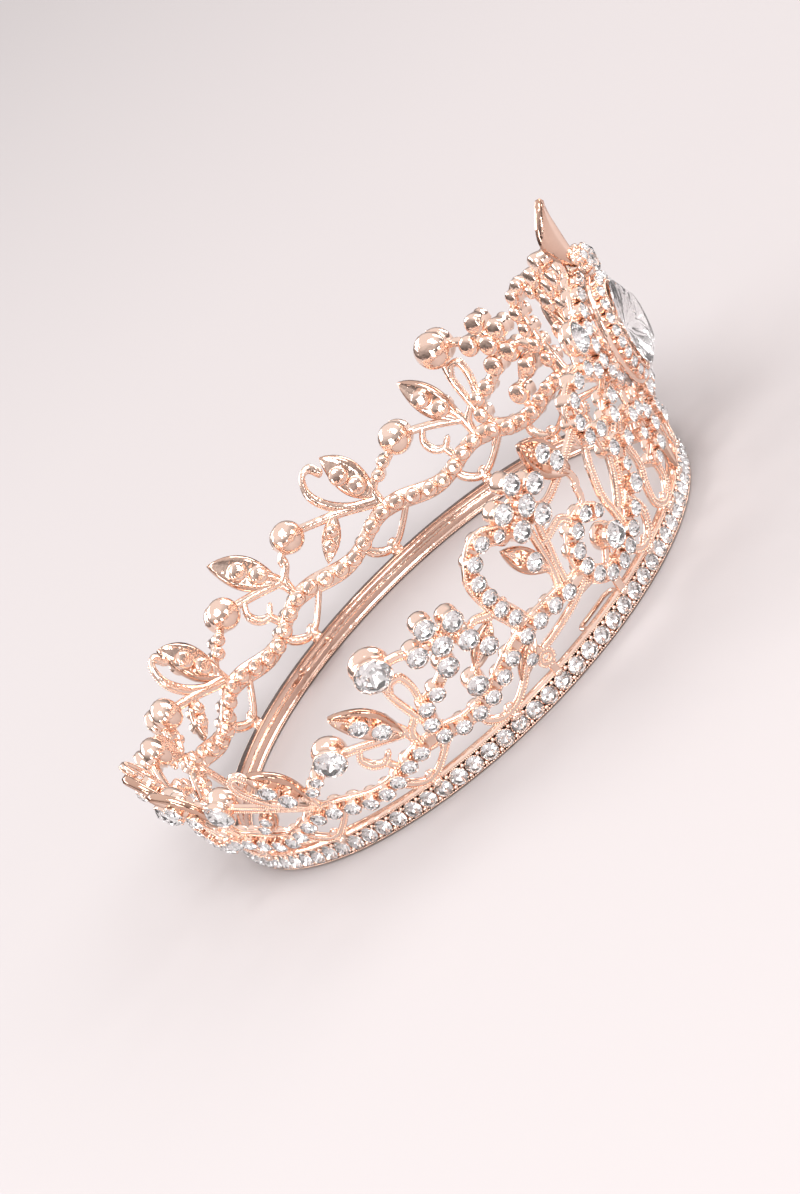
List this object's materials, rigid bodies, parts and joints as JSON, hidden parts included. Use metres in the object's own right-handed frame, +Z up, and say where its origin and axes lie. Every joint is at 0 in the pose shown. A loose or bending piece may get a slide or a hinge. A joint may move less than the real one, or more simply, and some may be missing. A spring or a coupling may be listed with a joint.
{
  "type": "bridal tiara",
  "caption": "Full-round bridal tiara: closed stone-set band, flared openwork garland wall of leaves, scrolls and berry stones, and a raised front medallion.",
  "frame": {"origin": "centre of the ring on the plane that the base band rests on", "axes": "+Z up along the ring's axis, front of the tiara towards -Y, the wearer's left towards +X"},
  "size_m": [0.1778, 0.185, 0.0856],
  "materials": {
    "rose_gold": "polished rose gold plating",
    "crystal": "clear faceted, foiled back"
  },
  "bodies": {
    "root": {"base_band": "rose_gold", "band_cups_left": "rose_gold", "band_cups_right": "rose_gold", "band_stones_left": "crystal", "band_stones_right": "crystal", "side_wire_left": "rose_gold", "side_wire_right": "rose_gold", "centre_panel": "rose_gold", "centre_cups": "rose_gold", "centre_stones": "crystal", "lower_scroll_left": "rose_gold", "lower_scroll_right": "rose_gold", "upper_scroll_left": "rose_gold", "upper_scroll_right": "rose_gold", "scroll_cups_left": "rose_gold", "scroll_cups_right": "rose_gold", "scroll_stones_left": "crystal", "scroll_stones_right": "crystal", "blossom_casting_left": "rose_gold", "blossom_casting_right": "rose_gold", "blossom_cups_left": "rose_gold", "blossom_cups_right": "rose_gold", "blossom_stones_left": "crystal", "blossom_stones_right": "crystal", "spray_casting_left": "rose_gold", "spray_casting_right": "rose_gold", "spray_cups_left": "rose_gold", "spray_cups_right": "rose_gold", "spray_stones_left": "crystal", "spray_stones_right": "crystal", "leaf_unit_1_left": "rose_gold", "leaf_unit_1_right": "rose_gold", "leaf_unit_2_left": "rose_gold", "leaf_unit_2_right": "rose_gold", "leaf_unit_3_left": "rose_gold", "leaf_unit_3_right": "rose_gold", "leaf_unit_4_left": "rose_gold", "leaf_unit_4_right": "rose_gold", "garland_cups_left": "rose_gold", "garland_cups_right": "rose_gold", "garland_stones_left": "crystal", "garland_stones_right": "crystal", "back_ornament": "rose_gold", "back_cup": "rose_gold", "back_stone": "crystal", "medallion_plate": "rose_gold", "medallion_posts": "rose_gold", "halo_cups": "rose_gold", "halo_stones": "crystal", "centre_bezel": "rose_gold", "centre_stone": "crystal", "side_bezels": "rose_gold", "side_stones": "crystal", "top_leaf": "rose_gold"}
  },
  "joints": []
}
